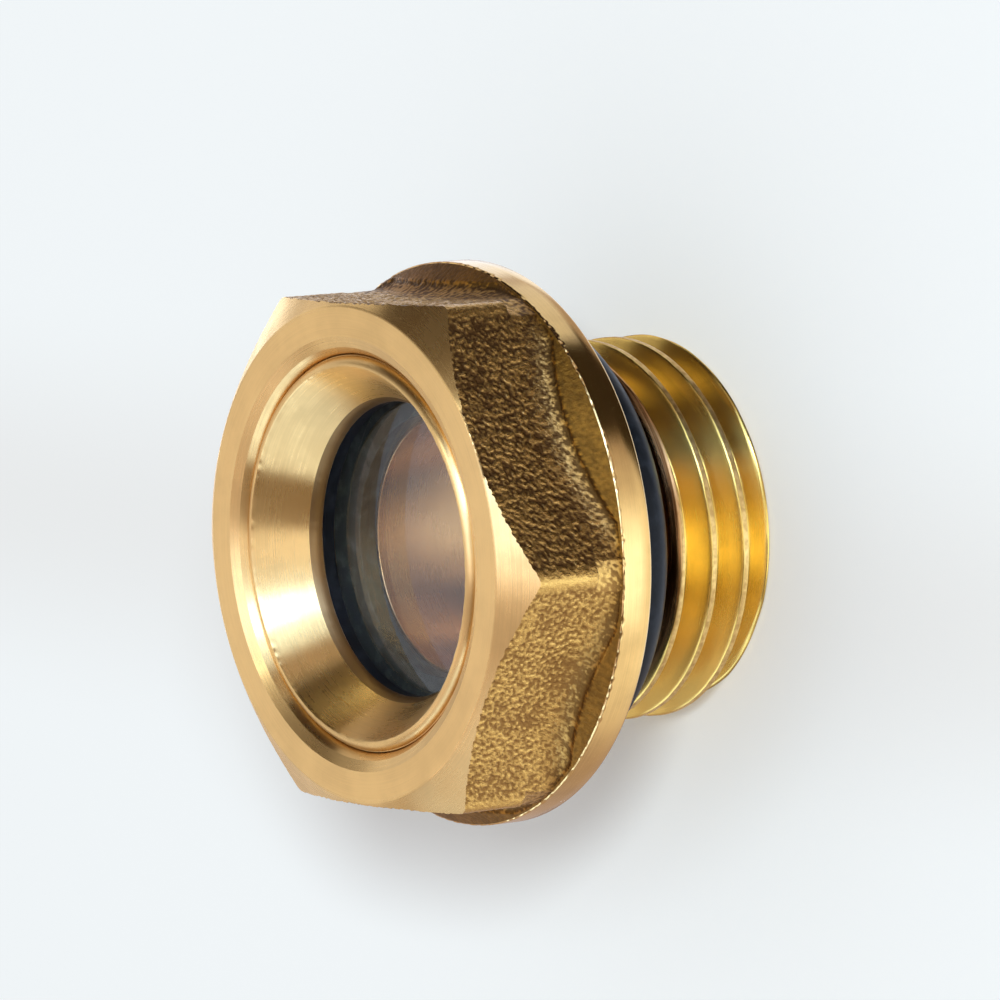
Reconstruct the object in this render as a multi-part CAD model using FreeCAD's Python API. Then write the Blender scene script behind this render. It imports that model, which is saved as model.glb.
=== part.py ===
import FreeCAD, Part
import math
import os

# Oil level sight glass with a G 1/4 pipe thread and a 17 mm hexagon.
# Axis of the thread along Z, window up, thread end down.
# The origin is on the axis, in the face of the flange that seals.
# All lengths in millimetres, all angles in degrees.

V = FreeCAD.Vector
AXIS = V(0, 0, 1)

# thread, G 1/4: 19 turns to the inch, 55 degree flanks
THREAD_D = 13.157
THREAD_PITCH = 25.4 / 19
THREAD_DEPTH = 0.640327 * THREAD_PITCH
THREAD_FLANK = 27.5
THREAD_CREST_W = THREAD_PITCH / 6
THREAD_END_Z = -7.5
THREAD_START_Z = -3.25
THREAD_END_CHAMFER = 0.4
THREAD_START_CHAMFER = 0.25
# height of a crest at the angle of the X axis
THREAD_PHASE_Z = -5.86

# neck between the flange and the thread
NECK_D = 11.2

# flange and hexagon
FLANGE_D = 19.2
FLANGE_T = 1.16
FLANGE_EDGE = 0.12
HEX_AF = 17.0
HEX_CORNER_R = 0.5
HEAD_H = 5.5
FACE_D = 16.75
HEX_CHAMFER = 32.0
# turned cone on the front of the flange: its width and its slope
CONE_W = 0.62
CONE_SLOPE = 42.0
# hollow foot of the flats above that cone, and how far it bites into a flat
HOLLOW_H = 1.1
HOLLOW_BITE = 0.1
HOLLOW_STEPS = 4

# stepped bore
BORE_D = 8.7
BORE_CHAMFER = 0.3
SHOULDER_Z = 0.6
GLASS_BORE_D = 12.2
RING_BORE_D = 13.5
RIM_D = 14.68
RIM_BREAK_D = 13.94
# depths below the front face
RIM_BREAK_DEPTH = 0.17
RIM_JOINT_DEPTH = 0.45

# stack inside the bore
REAR_GASKET_T = 0.7
REAR_GASKET_ID = 8.9
GLASS_T = 1.4
GLASS_D = 12.0
GLASS_EDGE = 0.1
FRONT_GASKET_T = 0.5
FRONT_GASKET_ID = 10.1

# retaining ring
RING_CLEAR = 0.02
RING_CREST_D = 12.68
CONE_END_D = 10.4
WINDOW_D = 10.02
# depths below the front face, then heights above the ring's seat
RING_CREST_DEPTH = 0.21
RING_JOINT_DEPTH = 0.47
CONE_END_H = 0.49
WINDOW_EDGE_H = 0.25

# sealing ring behind the flange, with a flat side on the flange and on the neck
SEAL_SECTION = 2.4
SEAL_SIDES = 24

# places that follow from the sizes above
THREAD_R = THREAD_D / 2
ROOT_R = THREAD_R - THREAD_DEPTH
REAR_GASKET_TOP = SHOULDER_Z + REAR_GASKET_T
GLASS_TOP = REAR_GASKET_TOP + GLASS_T
RING_SEAT_Z = GLASS_TOP + FRONT_GASKET_T
RIM_BREAK_Z = HEAD_H - RIM_BREAK_DEPTH
RIM_JOINT_Z = HEAD_H - RIM_JOINT_DEPTH
RING_CREST_Z = HEAD_H - RING_CREST_DEPTH
RING_JOINT_Z = HEAD_H - RING_JOINT_DEPTH
CONE_END_Z = RING_SEAT_Z + CONE_END_H
WINDOW_EDGE_Z = RING_SEAT_Z + WINDOW_EDGE_H


def revolve(points):
    """Turn a closed outline of (radius, height) points around the axis."""
    corners = [V(r, 0, z) for r, z in points]
    wire = Part.makePolygon(corners + [corners[0]])
    return Part.Face(wire).revolve(V(0, 0, 0), AXIS, 360)


def ring(outer_d, inner_d, z_low, z_high):
    """A plain ring of rectangular section."""
    low_in = (inner_d / 2, z_low)
    low_out = (outer_d / 2, z_low)
    high_out = (outer_d / 2, z_high)
    high_in = (inner_d / 2, z_high)
    return revolve([low_in, low_out, high_out, high_in])


def turned_core():
    """Thread core, neck and flange, all turned on the same axis."""
    flange_r = FLANGE_D / 2
    neck_r = NECK_D / 2
    rim_top = FLANGE_T - FLANGE_EDGE
    outline = [
        (0, THREAD_END_Z),
        (ROOT_R, THREAD_END_Z),
        (ROOT_R, THREAD_START_Z),
        (neck_r, THREAD_START_Z),
        (neck_r, 0),
        (flange_r - FLANGE_EDGE, 0),
        (flange_r, FLANGE_EDGE),
        (flange_r, rim_top),
        (flange_r - FLANGE_EDGE, FLANGE_T),
        (0, FLANGE_T),
    ]
    return revolve(outline)


def hex_prism(across_flats, z_low, z_high):
    """Hexagon with two flats square to the X axis and rounded corners."""
    corner_r = across_flats / 2 / math.cos(math.radians(30))
    corners = []
    for k in range(6):
        a = math.radians(30 + 60 * k)
        corners.append(V(corner_r * math.cos(a), corner_r * math.sin(a), z_low))
    wire = Part.makePolygon(corners + [corners[0]])
    prism = Part.Face(wire).extrude(V(0, 0, z_high - z_low))
    upright = [e for e in prism.Edges if abs(e.BoundBox.ZLength - (z_high - z_low)) < 1e-6]
    return prism.makeFillet(HEX_CORNER_R, upright)


def forged_head():
    """The hexagon with its turned chamfer, standing in its hollow foot."""
    prism = hex_prism(HEX_AF, 0.5 * FLANGE_T, HEAD_H)
    face_r = FACE_D / 2
    wide_r = HEX_AF
    drop = (wide_r - face_r) * math.tan(math.radians(HEX_CHAMFER))
    chamfer_blank = revolve([
        (0, HEAD_H),
        (0, HEAD_H - drop - 1),
        (wide_r, HEAD_H - drop - 1),
        (wide_r, HEAD_H - drop),
        (face_r, HEAD_H),
    ])
    return prism.common(chamfer_blank).fuse(hollow_foot())


def hollow_foot():
    """Turned cone on the flange, then the forged hollow up to the flats."""
    rim_r = FLANGE_D / 2 - FLANGE_EDGE
    lip_r = rim_r - CONE_W
    lip_z = FLANGE_T + CONE_W * math.tan(math.radians(CONE_SLOPE))
    width = lip_r - (HEX_AF / 2 - HOLLOW_BITE)
    outline = [
        (0, 0.5 * FLANGE_T),
        (rim_r, 0.5 * FLANGE_T),
        (rim_r, FLANGE_T),
    ]
    for k in range(HOLLOW_STEPS + 1):
        a = math.radians(90) * k / HOLLOW_STEPS
        r = lip_r - width * math.sin(a)
        z = lip_z + HOLLOW_H * (1 - math.cos(a))
        outline.append((r, z))
    outline.append((0, lip_z + HOLLOW_H))
    return revolve(outline)


def thread_ridge():
    """The helical ridge of the thread, turned off and chamfered at both ends."""
    turns_below = math.ceil((THREAD_PHASE_Z - THREAD_END_Z) / THREAD_PITCH + 0.5)
    start_z = THREAD_PHASE_Z - turns_below * THREAD_PITCH
    turns = math.ceil((THREAD_START_Z - start_z) / THREAD_PITCH + 0.5)
    sunk = 0.12
    half_crest = THREAD_CREST_W / 2
    slope = math.tan(math.radians(THREAD_FLANK))
    half_root = half_crest + (THREAD_DEPTH + sunk) * slope
    inner_r = ROOT_R - sunk
    helix = Part.makeHelix(THREAD_PITCH, turns * THREAD_PITCH, inner_r)
    section = [
        V(inner_r, 0, -half_root),
        V(THREAD_R, 0, -half_crest),
        V(THREAD_R, 0, half_crest),
        V(inner_r, 0, half_root),
    ]
    wire = Part.makePolygon(section + [section[0]])
    sweep = Part.BRepOffsetAPI.MakePipeShell(helix)
    sweep.setFrenetMode(True)
    sweep.add(wire)
    sweep.build()
    sweep.makeSolid()
    ridge = sweep.shape()
    ridge.translate(V(0, 0, start_z))
    ridge = ridge.cut(beyond_thread(THREAD_END_Z, THREAD_END_CHAMFER, -1))
    return ridge.cut(beyond_thread(THREAD_START_Z, THREAD_START_CHAMFER, 1))


def beyond_thread(end_z, chamfer, way):
    """What is turned off past one end of the thread; way is 1 upwards and -1 downwards."""
    inner_r = ROOT_R / 2
    cone_r = THREAD_R - chamfer
    wide_r = THREAD_R + THREAD_PITCH
    far_z = end_z + way * 8 * THREAD_PITCH
    return revolve([
        (inner_r, end_z),
        (cone_r, end_z),
        (wide_r, end_z - way * (wide_r - cone_r)),
        (wide_r, far_z),
        (inner_r, far_z),
    ])


def bore():
    """Everything that is turned out of the body from its two ends."""
    bore_r = BORE_D / 2
    above = HEAD_H + 1
    lead_slope = (RIM_D - RIM_BREAK_D) / 2 / (HEAD_H - RIM_BREAK_Z)
    lead_r = RIM_D / 2 + lead_slope * (above - HEAD_H)
    below = THREAD_END_Z - 1
    return revolve([
        (0, below),
        (bore_r + BORE_CHAMFER + 1, below),
        (bore_r, THREAD_END_Z + BORE_CHAMFER),
        (bore_r, SHOULDER_Z),
        (GLASS_BORE_D / 2, SHOULDER_Z),
        (GLASS_BORE_D / 2, RING_SEAT_Z),
        (RING_BORE_D / 2, RING_SEAT_Z),
        (RING_BORE_D / 2, RIM_JOINT_Z),
        (RIM_BREAK_D / 2, RIM_BREAK_Z),
        (RIM_D / 2, HEAD_H),
        (lead_r, above),
        (0, above),
    ])


def body():
    """The forged and turned brass body, one piece."""
    blank = turned_core().fuse(forged_head())
    blank = blank.fuse(thread_ridge())
    return blank.cut(bore()).removeSplitter()


def retaining_ring():
    """The turned ring with the wide cone, pressed in above the glass."""
    outer_r = RING_BORE_D / 2 - RING_CLEAR
    return revolve([
        (WINDOW_D / 2, RING_SEAT_Z),
        (outer_r, RING_SEAT_Z),
        (outer_r, RING_JOINT_Z),
        (RING_CREST_D / 2, RING_CREST_Z),
        (CONE_END_D / 2, CONE_END_Z),
        (WINDOW_D / 2, WINDOW_EDGE_Z),
    ])


def rear_gasket():
    """Flat rubber ring on the shoulder, under the glass."""
    return ring(GLASS_D, REAR_GASKET_ID, SHOULDER_Z, REAR_GASKET_TOP)


def glass_disc():
    """The window, with its sharp edges broken."""
    r = GLASS_D / 2
    flat_r = r - GLASS_EDGE
    return revolve([
        (0, REAR_GASKET_TOP),
        (flat_r, REAR_GASKET_TOP),
        (r, REAR_GASKET_TOP + GLASS_EDGE),
        (r, GLASS_TOP - GLASS_EDGE),
        (flat_r, GLASS_TOP),
        (0, GLASS_TOP),
    ])


def front_gasket():
    """Flat rubber ring between the glass and the retaining ring."""
    return ring(GLASS_D, FRONT_GASKET_ID, GLASS_TOP, RING_SEAT_Z)


def flange_seal():
    """Round rubber ring in the neck, against the face of the flange."""
    tube_r = SEAL_SECTION / 2
    centre_r = NECK_D / 2 + tube_r
    half_side = math.pi / SEAL_SIDES
    corner_r = tube_r / math.cos(half_side)
    outline = []
    for k in range(SEAL_SIDES):
        a = half_side * (2 * k + 1)
        outline.append((centre_r + corner_r * math.cos(a), corner_r * math.sin(a) - tube_r))
    return revolve(outline)


NODES = {
    "body": body,
    "retaining_ring": retaining_ring,
    "front_gasket": front_gasket,
    "glass_disc": glass_disc,
    "rear_gasket": rear_gasket,
    "flange_seal": flange_seal,
}

os.makedirs("parts", exist_ok=True)
for name, make in NODES.items():
    shape = make()
    shape.exportStep("parts/" + name + ".step")
    box = shape.optimalBoundingBox()
    print(name, shape.ShapeType, len(shape.Solids), "solid",
          "volume %.1f mm3" % shape.Volume,
          "z %.2f to %.2f" % (box.ZMin, box.ZMax), "valid", shape.isValid())
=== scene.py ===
# %% [markdown]
# # An oil level sight glass in brass
# The real part is screwed into the wall of a tank. Its body is hot forged in brass, which
# leaves a grainy skin on the six flats, and then the round faces and the pipe thread are cut
# on a lathe. A glass disc lies between two flat rubber rings, and a turned cone ring is
# pressed in above it.
# This lesson rebuilds each of those pieces in the way that it is made: the forging as a
# grainy skin, the turned pieces as outlines that go round an axis, and the thread as a cut
# that Geometry Nodes makes in a turned blank.

# %% Load the frame that every piece has to fit
import math
import bpy
import numpy as np
from mathutils import Matrix, Vector


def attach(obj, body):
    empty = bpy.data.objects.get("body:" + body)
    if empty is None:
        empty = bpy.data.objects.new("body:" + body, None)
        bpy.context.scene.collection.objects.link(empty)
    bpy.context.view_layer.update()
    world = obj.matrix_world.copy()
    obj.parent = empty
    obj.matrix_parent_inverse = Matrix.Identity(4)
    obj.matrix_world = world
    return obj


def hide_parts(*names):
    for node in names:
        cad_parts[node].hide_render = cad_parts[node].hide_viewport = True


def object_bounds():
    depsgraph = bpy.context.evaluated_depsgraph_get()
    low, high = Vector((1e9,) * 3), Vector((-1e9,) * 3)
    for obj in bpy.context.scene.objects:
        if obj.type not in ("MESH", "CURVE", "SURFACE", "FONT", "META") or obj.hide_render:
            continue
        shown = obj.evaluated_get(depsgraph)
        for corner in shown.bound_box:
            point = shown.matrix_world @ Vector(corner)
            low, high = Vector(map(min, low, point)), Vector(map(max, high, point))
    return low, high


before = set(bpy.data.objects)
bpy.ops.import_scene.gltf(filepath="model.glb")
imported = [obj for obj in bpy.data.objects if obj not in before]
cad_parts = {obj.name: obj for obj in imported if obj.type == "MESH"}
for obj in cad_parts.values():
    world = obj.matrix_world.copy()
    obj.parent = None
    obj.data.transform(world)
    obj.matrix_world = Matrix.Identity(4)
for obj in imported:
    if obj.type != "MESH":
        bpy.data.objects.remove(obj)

# sizes below are written in mm, and Blender counts in metres
MM = 0.001
bpy.context.scene.view_settings.view_transform = "Standard"
cad_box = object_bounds()
print("nodes to dress:", sorted(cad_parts))
print("box of the solids in mm:", [[round(c / MM, 2) for c in corner] for corner in cad_box])

# %% [markdown]
# ## The camera
# The photograph shows hardly any perspective, as a long lens gives. The camera looks down on
# the window at 35 degrees and lies on its side, so the thread's axis runs across the picture.
# The camera could be pushed about by hand until the picture fits. Here it is worked out from
# three facts instead: where the part's axis points as the camera sees it, where the part lies
# in front of the lens, and how far the part is turned about its own axis.

# %% Place the camera
FOCAL_PX, PICTURE_PX, SENSOR_MM = 8000.0, 1000, 36.0
# the axis as the camera sees it, right and down, where the whole axis has a length of 1
AXIS_SEEN = (-0.813, 0.079)
# right of, below and ahead of the lens, in mm
PART_SEEN_AT = Vector((-0.545, 1.404, 272.05))
TURN = math.radians(-93)

axis = Vector((*AXIS_SEEN, -math.sqrt(1 - AXIS_SEEN[0] ** 2 - AXIS_SEEN[1] ** 2)))
side = Vector((0, 1, 0)).cross(axis).normalized()
up_side = axis.cross(side)
seen_x = math.cos(TURN) * side + math.sin(TURN) * up_side
seen_y = axis.cross(seen_x)
part_to_camera = Matrix((seen_x, seen_y, axis)).transposed()
camera_to_part = part_to_camera.transposed()

camera = bpy.data.objects.new("camera", bpy.data.cameras.new("camera"))
bpy.context.collection.objects.link(camera)
eye = -(camera_to_part @ PART_SEEN_AT) * MM
right = camera_to_part @ Vector((1, 0, 0))
upward = camera_to_part @ Vector((0, -1, 0))
back = camera_to_part @ Vector((0, 0, -1))
pose = Matrix((right, upward, back)).transposed().to_4x4()
pose.translation = eye
camera.matrix_world = pose
camera.data.sensor_fit = "HORIZONTAL"
camera.data.sensor_width = SENSOR_MM
camera.data.lens = FOCAL_PX / PICTURE_PX * SENSOR_MM
camera.data.clip_start = 0.01
camera.data.clip_end = 10.0
bpy.context.scene.camera = camera
print("camera at", [round(c / MM, 1) for c in eye], "mm, lens", camera.data.lens, "mm")

# %% [markdown]
# ## Skins made of rows
# Nearly every surface of this part is a row of rings round one axis. A ring is a list of
# points, and the skin is stitched between neighbouring rings. Where the forged flats need
# finer steps than the turned faces, one ring has a whole multiple of the other's points,
# and the stitch is a fan of triangles, so that the skin stays closed.
# Blender's Spin or Screw tool would turn an outline too, but with one radius all round. Rows of
# points also allow rings that are not round, which the hexagon and its grain need.

# %% A ring of points
def ring_points(radius, height, steps):
    """A ring of points round the axis; radius and height may differ from point to point."""
    turn = np.arange(steps) * 2 * math.pi / steps
    radius = np.broadcast_to(radius, steps)
    height = np.broadcast_to(height, steps)
    return np.stack([radius * np.cos(turn), radius * np.sin(turn), height], 1)


print("a ring of 4 points:", ring_points(2.0, 1.0, 4).round(1).tolist())

# %% Faces between two rings
def stitch(first, n, second, m):
    """Faces between a ring of n points that starts at first and one of m that starts at second."""
    if n == m:
        i = np.arange(n)
        j = (i + 1) % n
        return np.stack([first + i, first + j, second + j, second + i], 1).tolist()
    if n > m:
        return [f[::-1] for f in stitch(second, m, first, n)]
    k = m // n
    faces = []
    for i in range(n):
        a, b = first + i, first + (i + 1) % n
        fine = [second + (i * k + s) % m for s in range(k + 1)]
        half = k // 2
        faces += [[a, fine[s + 1], fine[s]] for s in range(half)]
        faces.append([a, b, fine[half]])
        faces += [[b, fine[s + 1], fine[s]] for s in range(half, k)]
    return faces


print("faces between 4 and 12 points:", len(stitch(0, 4, 4, 12)))

# %% A skin over many rings
def cover(rings, closed):
    """The faces between all rings, and for each face the number of its band."""
    starts = np.cumsum([0] + [len(r) for r in rings[:-1]])
    faces, band_of = [], []
    last = len(rings) if closed else len(rings) - 1
    for i in range(last):
        j = (i + 1) % len(rings)
        n, m = len(rings[i]), len(rings[j])
        if n == 1:
            band = [[starts[i], starts[j] + (s + 1) % m, starts[j] + s] for s in range(m)]
        elif m == 1:
            band = [[starts[j], starts[i] + s, starts[i] + (s + 1) % n] for s in range(n)]
        else:
            band = stitch(int(starts[i]), n, int(starts[j]), m)
        faces += band
        band_of += [i] * len(band)
    return faces, band_of


def mark_sharp(mesh, rings, sharp):
    """Make the edges along the rings in the list sharp."""
    row_of = np.repeat(np.arange(len(rings)), [len(r) for r in rings])
    ends = np.empty(2 * len(mesh.edges), dtype=np.int32)
    mesh.edges.foreach_get("vertices", ends)
    ends = row_of[ends.reshape(-1, 2)]
    is_sharp = np.zeros(len(rings), dtype=bool)
    is_sharp[list(sharp)] = True
    marks = (ends[:, 0] == ends[:, 1]) & is_sharp[ends[:, 0]]
    mesh.attributes.new("sharp_edge", "BOOLEAN", "EDGE").data.foreach_set("value", marks)


def skin(name, rings, finishes, finish_of_band=None, sharp=(), closed=True):
    """A mesh from rings of points in mm. A ring of one point is a pole."""
    faces, band_of = cover(rings, closed)
    slots = [finish_of_band[i] if finish_of_band else 0 for i in band_of]
    mesh = bpy.data.meshes.new(name)
    mesh.from_pydata((np.concatenate(rings) * MM).tolist(), [], faces)
    mesh.polygons.foreach_set("material_index", slots)
    mesh.polygons.foreach_set("use_smooth", [True] * len(faces))
    for finish in finishes:
        mesh.materials.append(finish)
    mark_sharp(mesh, rings, sharp)
    mesh.validate()
    mesh.update()
    piece = bpy.data.objects.new(name, mesh)
    bpy.context.collection.objects.link(piece)
    triangles = sum(len(f) - 2 for f in faces)
    print(name, len(mesh.vertices), "points,", triangles, "triangles")
    return piece


print("faces of a tube of 3 rings:", len(cover([ring_points(1, z, 8) for z in range(3)], False)[0]))

# %% Rings from an outline
SHARP_BEND = math.radians(24)


def turned_rings(outline, steps):
    """Rings for a closed outline of (radius, height) points, in the order that faces outwards."""
    area = 0
    for (r0, z0), (r1, z1) in zip(outline, outline[1:] + outline[:1]):
        area += r0 * z1 - r1 * z0
    if area < 0:
        outline = outline[::-1]
    rings = [ring_points(r, z, 1 if r == 0 else steps) for r, z in outline]
    sharp = []
    for i, (r, z) in enumerate(outline):
        r0, z0 = outline[i - 1]
        r1, z1 = outline[(i + 1) % len(outline)]
        bend = math.atan2(z1 - z, r1 - r) - math.atan2(z - z0, r - r0)
        if abs((bend + math.pi) % (2 * math.pi) - math.pi) > SHARP_BEND:
            sharp.append(i)
    return rings, sharp


def arc(centre_r, centre_z, radius, start, end, count):
    """Points (radius, height) on an arc, angles in degrees from the outward direction."""
    turns = [math.radians(start + (end - start) * k / count) for k in range(count + 1)]
    return [(centre_r + radius * math.cos(a), centre_z + radius * math.sin(a)) for a in turns]


print("a square outline has", len(turned_rings([(1, 0), (2, 0), (2, 1), (1, 1)], 8)[1]),
      "sharp rings")

# %% [markdown]
# ## The studio
# Cut brass is a mirror with a tint, so most of what it shows is the room round it. The
# photograph has broad bright bands on the metal with dark ones between, as large soft lights
# give that stand apart with dark gaps.
# Lamps could be set up for that one by one. A world of soft-edged cards is easier to tune,
# because each card is one line: a direction, a size, a soft edge and a level, and a later card
# lies over an earlier one. The metal and the glass see the cards, the floor and the rubber see
# a plain even light, and the camera sees the white background.

# %% Make nodes and link them
def add(tree, kind, **values):
    """A new node, with its properties and its unlinked inputs set by name or number."""
    node = tree.nodes.new(kind)
    for key, value in values.items():
        if key.startswith("in"):
            node.inputs[int(key[2:])].default_value = value
        else:
            setattr(node, key, value)
    return node


def plug(tree, value, socket):
    """Link an output to a socket, or set the socket to a plain number."""
    if isinstance(value, bpy.types.NodeSocket):
        tree.links.new(value, socket)
    else:
        socket.default_value = value


print("nodes are made with", add.__name__, "and linked with", plug.__name__)

# %% Numbers in a node tree
def reckon(tree, operation, a, b=0.0, c=0.0):
    """One step of arithmetic on up to three numbers or outputs."""
    node = add(tree, "ShaderNodeMath", operation=operation)
    for value, socket in zip((a, b, c), node.inputs):
        plug(tree, value, socket)
    return node.outputs[0]


def diagonal(tree, a, b):
    """The root of a squared plus b squared."""
    return reckon(tree, "SQRT", reckon(tree, "ADD", reckon(tree, "MULTIPLY", a, a),
                                       reckon(tree, "MULTIPLY", b, b)))


def between(tree, value, low, high, to_low=0.0, to_high=1.0):
    """Map a value smoothly from one range to another, held at both ends."""
    node = add(tree, "ShaderNodeMapRange", in1=low, in2=high, in3=to_low, in4=to_high)
    node.interpolation_type = "SMOOTHSTEP"
    plug(tree, value, node.inputs[0])
    return node.outputs[0]


print("numbers:", reckon.__name__, diagonal.__name__, between.__name__)

# %% Colours, directions and shaders in a node tree
def shade(tree, fac, first, second):
    """A colour between two, by a factor. Each may be three numbers or an output."""
    node = add(tree, "ShaderNodeMix", data_type="RGBA")
    plug(tree, fac, node.inputs[0])
    for value, socket in ((first, node.inputs[6]), (second, node.inputs[7])):
        plug(tree, value if isinstance(value, bpy.types.NodeSocket) else (*value, 1), socket)
    return node.outputs[2]


def dot(tree, sight, way):
    """How far a vector reaches along a fixed direction."""
    node = add(tree, "ShaderNodeVectorMath", operation="DOT_PRODUCT", in1=way)
    tree.links.new(sight, node.inputs[0])
    return node.outputs["Value"]


def mix_shaders(tree, fac, first, second):
    """One shader where the factor is 0 and the other where it is 1."""
    node = add(tree, "ShaderNodeMixShader")
    for value, socket in zip((fac, first, second), node.inputs):
        plug(tree, value, socket)
    return node.outputs[0]


print("colours, directions and shaders:", shade.__name__, dot.__name__, mix_shaders.__name__)

# %% A card with soft edges
def direction(azimuth, elevation):
    """Azimuth counts round from +X, elevation up from the floor, both in degrees."""
    a, e = math.radians(azimuth), math.radians(elevation)
    return Vector((math.cos(a) * math.cos(e), math.sin(a) * math.cos(e), math.sin(e)))


def card(tree, sight, azimuth, elevation, wide, high, soft, lean):
    """1 inside a card seen in that direction, 0 outside; sizes and soft edge in degrees."""
    facing = direction(azimuth, elevation)
    across = Vector((0, 0, 1)).cross(facing).normalized()
    over = facing.cross(across)
    tip = math.radians(lean)
    across, over = (math.cos(tip) * across + math.sin(tip) * over,
                    math.cos(tip) * over - math.sin(tip) * across)
    ahead = dot(tree, sight, facing)
    mask = None
    for way, size in ((across, wide), (over, high)):
        slope = reckon(tree, "DIVIDE", dot(tree, sight, way), reckon(tree, "MAXIMUM", ahead, 0.01))
        angle = reckon(tree, "ABSOLUTE", reckon(tree, "ARCTANGENT", slope))
        half, edge = math.radians(size / 2), math.radians(soft)
        inside = between(tree, angle, half + edge / 2, max(half - edge / 2, 0))
        mask = inside if mask is None else reckon(tree, "MULTIPLY", mask, inside)
    return mask


print("azimuth 90, elevation 30 looks along", [round(c, 2) for c in direction(90, 30)])

# %% The cards of the studio
ROOM = (0.50, 0.41, 0.38)
# azimuth, elevation, width, height, soft edge, lean, and the light in red, green and blue
CARDS = [
    (-118, -50, 75, 60, 40, 10, (1.2, 1.2, 1.2)),
    (90, -72, 90, 36, 10, -60, (1.2, 1.3, 1.5)),
    (80, 35, 50, 100, 6, 25, (4.0, 4.5, 5.0)),
    (162, 75, 80, 56, 6, 4, (1.75, 1.6, 1.8)),
    (-44, 54, 36, 74, 16, -4, (2.1, 2.8, 4.2)),
    (-90, 28, 32, 18, 6, 4, (1.6, 1.7, 1.9)),
    (-172, 26, 88, 28, 14, 16, (1.65, 2.1, 2.9)),
    (66, 31, 120, 65, 6, -15, (0.88, 0.86, 0.90)),
    (-103, -14, 34, 60, 26, 4, (1.85, 2.1, 2.4)),
    (4, -8, 50, 118, 6, -30, (0.03, 0.02, 0.02)),
    (23, -21, 37, 40, 6, -6, (0.85, 0.88, 0.98)),
    (34, 49, 74, 20, 6, -18, (0.09, 0.06, 0.03)),
    (-182, 65, 66, 35, 7, -15, (0.75, 0.66, 0.70)),
    (-124, 28, 34, 36, 8, 3, (0.17, 0.12, 0.07)),
    (-38, -3, 19, 54, 6, 5, (0.06, 0.04, 0.02)),
    (-24, -44, 36, 74, 8, 0, (0.04, 0.03, 0.02)),
    (-51, 38, 14, 24, 5, -4, (5.0, 7.0, 12.0)),
]
print("studio with", len(CARDS), "cards")

# %% Put the cards in the world
BACKDROP = (0.89, 0.92, 0.94, 1)
EVEN_LIGHT, EVEN_LEVEL = (1.0, 0.955, 0.91, 1), 0.66
world = bpy.data.worlds.new("studio")
bpy.context.scene.world = world
world.use_nodes = True
world.cycles.sampling_method = "NONE"
sky = world.node_tree
sky.nodes.clear()
look = add(sky, "ShaderNodeTexCoord").outputs["Generated"]
light = ROOM
for azimuth, elevation, wide, high, soft, lean, colour in CARDS:
    mask = card(sky, look, azimuth, elevation, wide, high, soft, lean)
    light = shade(sky, mask, light, colour)
path = add(sky, "ShaderNodeLightPath")
studio_light = add(sky, "ShaderNodeBackground")
plug(sky, light, studio_light.inputs["Color"])
even_light = add(sky, "ShaderNodeBackground", in0=EVEN_LIGHT, in1=EVEN_LEVEL)
backdrop = add(sky, "ShaderNodeBackground", in0=BACKDROP, in1=1.0)
glossy_or_not = mix_shaders(sky, path.outputs["Is Glossy Ray"], even_light.outputs[0],
                            studio_light.outputs[0])
seen_or_not = mix_shaders(sky, path.outputs["Is Camera Ray"], glossy_or_not,
                          backdrop.outputs[0])
plug(sky, seen_or_not, add(sky, "ShaderNodeOutputWorld").inputs["Surface"])
print("world", world.name, "with", len(sky.nodes), "nodes")

# %% [markdown]
# ## The paper and the lamp
# The band is painted shade and the patch is a painted shadow.
# The part stands on the end of its thread, on pale paper. In the photograph a faint grey band
# runs across the paper behind the part, and there is a soft darker patch under the head. Both
# could come from more lamps, but those would change the metal too, so the paper's own colour
# carries them: it is mixed by how far a point lies from the band and from the patch.
# The metal looks straight through the paper, so that it also shows the cards below the floor.
# One soft lamp near the camera gives the part its real shadow.

# %% Where the paper is painted darker, as shade and shadow
PLAIN_PAPER, SHADE_BAND_PAPER = (0.845, 0.88, 0.922), (0.772, 0.783, 0.806)
SHADOW_PATCH_PAPER = (0.63, 0.61, 0.61)


def paper_shades(tree, spot):
    """The colour of the paper at a spot: plain, in the band, or in the patch. In metres."""
    band_shift, band_half, band_lean = 0.0022, 0.0085, 0.12
    patch_left, patch_down, patch_squeeze = 0.0060, 0.0040, 0.92
    patch_end, patch_core, patch_share = 0.0118, 0.0080, 0.30
    # painted shade: a grey band across the paper, and a painted shadow patch under the head
    along = reckon(tree, "ADD", dot(tree, spot, upward + band_lean * right), band_shift)
    band = between(tree, reckon(tree, "ABSOLUTE", along), band_half, 0.0)
    across = reckon(tree, "ADD", dot(tree, spot, right), patch_left)
    across = reckon(tree, "MULTIPLY", across, patch_squeeze)
    over = reckon(tree, "ADD", dot(tree, spot, upward), patch_down)
    near = between(tree, diagonal(tree, across, over), patch_end, patch_core, 0.0, patch_share)
    banded = shade(tree, band, PLAIN_PAPER, SHADE_BAND_PAPER)
    return shade(tree, near, banded, SHADOW_PATCH_PAPER)


print("paper", PLAIN_PAPER, "band", SHADE_BAND_PAPER, "patch", SHADOW_PATCH_PAPER)

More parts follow.
